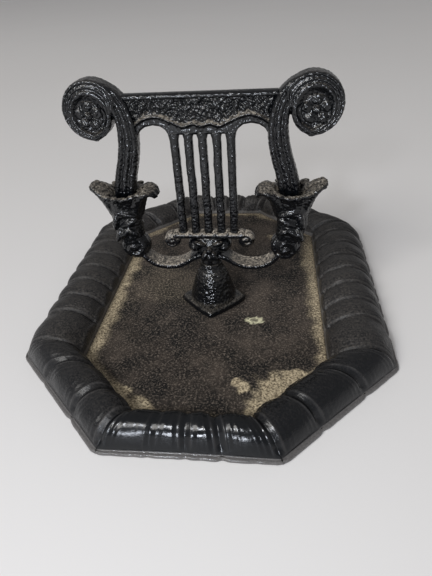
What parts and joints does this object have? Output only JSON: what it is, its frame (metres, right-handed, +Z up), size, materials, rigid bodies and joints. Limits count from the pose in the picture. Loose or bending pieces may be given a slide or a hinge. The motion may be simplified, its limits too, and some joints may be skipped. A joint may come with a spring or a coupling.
{
  "type": "boot scraper",
  "caption": "Antique cast-iron lyre boot scraper: scroll-ended lyre with horns and strings, fixed by a screw in an elongated octagonal mud tray with a gadrooned rim",
  "frame": {"origin": "middle of the rectangle that the tray stands on, on the ground", "axes": "+Z up, X across the width and the lyre, Y along the tray's length with the front at -Y"},
  "size_m": [0.305, 0.381, 0.2027],
  "materials": {
    "lyre_iron": "black oil gloss paint over cast iron, hammered and orange-peel texture, dust in the hollows",
    "tray_rim_iron": "worn black paint over cast iron, satin to gloss, dusty, lip rubbed to bare grey-brown iron",
    "tray_floor_iron": "rusted sand-cast iron with sandy dirt along its edges",
    "screw_steel": "dull oxidised steel"
  },
  "bodies": {
    "root": {"tray_floor": "tray_floor_iron", "rim_back_right": "tray_rim_iron", "rim_back": "tray_rim_iron", "rim_back_left": "tray_rim_iron", "rim_left": "tray_rim_iron", "rim_front_left": "tray_rim_iron", "rim_front": "tray_rim_iron", "rim_front_right": "tray_rim_iron", "rim_right": "tray_rim_iron", "lyre_foot": "lyre_iron", "lyre_trunk": "lyre_iron", "lyre_heart": "lyre_iron", "string_bridge": "lyre_iron", "crossbar": "lyre_iron", "string_1": "lyre_iron", "string_2": "lyre_iron", "string_3": "lyre_iron", "string_4": "lyre_iron", "string_5": "lyre_iron", "bridge_curl_left": "lyre_iron", "tail_left": "lyre_iron", "horn_curl_left": "lyre_iron", "horn_left": "lyre_iron", "horn_mouth_left": "lyre_iron", "arm_left": "lyre_iron", "volute_left": "lyre_iron", "bridge_curl_right": "lyre_iron", "tail_right": "lyre_iron", "horn_curl_right": "lyre_iron", "horn_right": "lyre_iron", "horn_mouth_right": "lyre_iron", "arm_right": "lyre_iron", "volute_right": "lyre_iron", "rosette_left_front": "lyre_iron", "rosette_left_back": "lyre_iron", "rosette_right_front": "lyre_iron", "rosette_right_back": "lyre_iron", "fixing_screw": "screw_steel"}
  },
  "joints": []
}
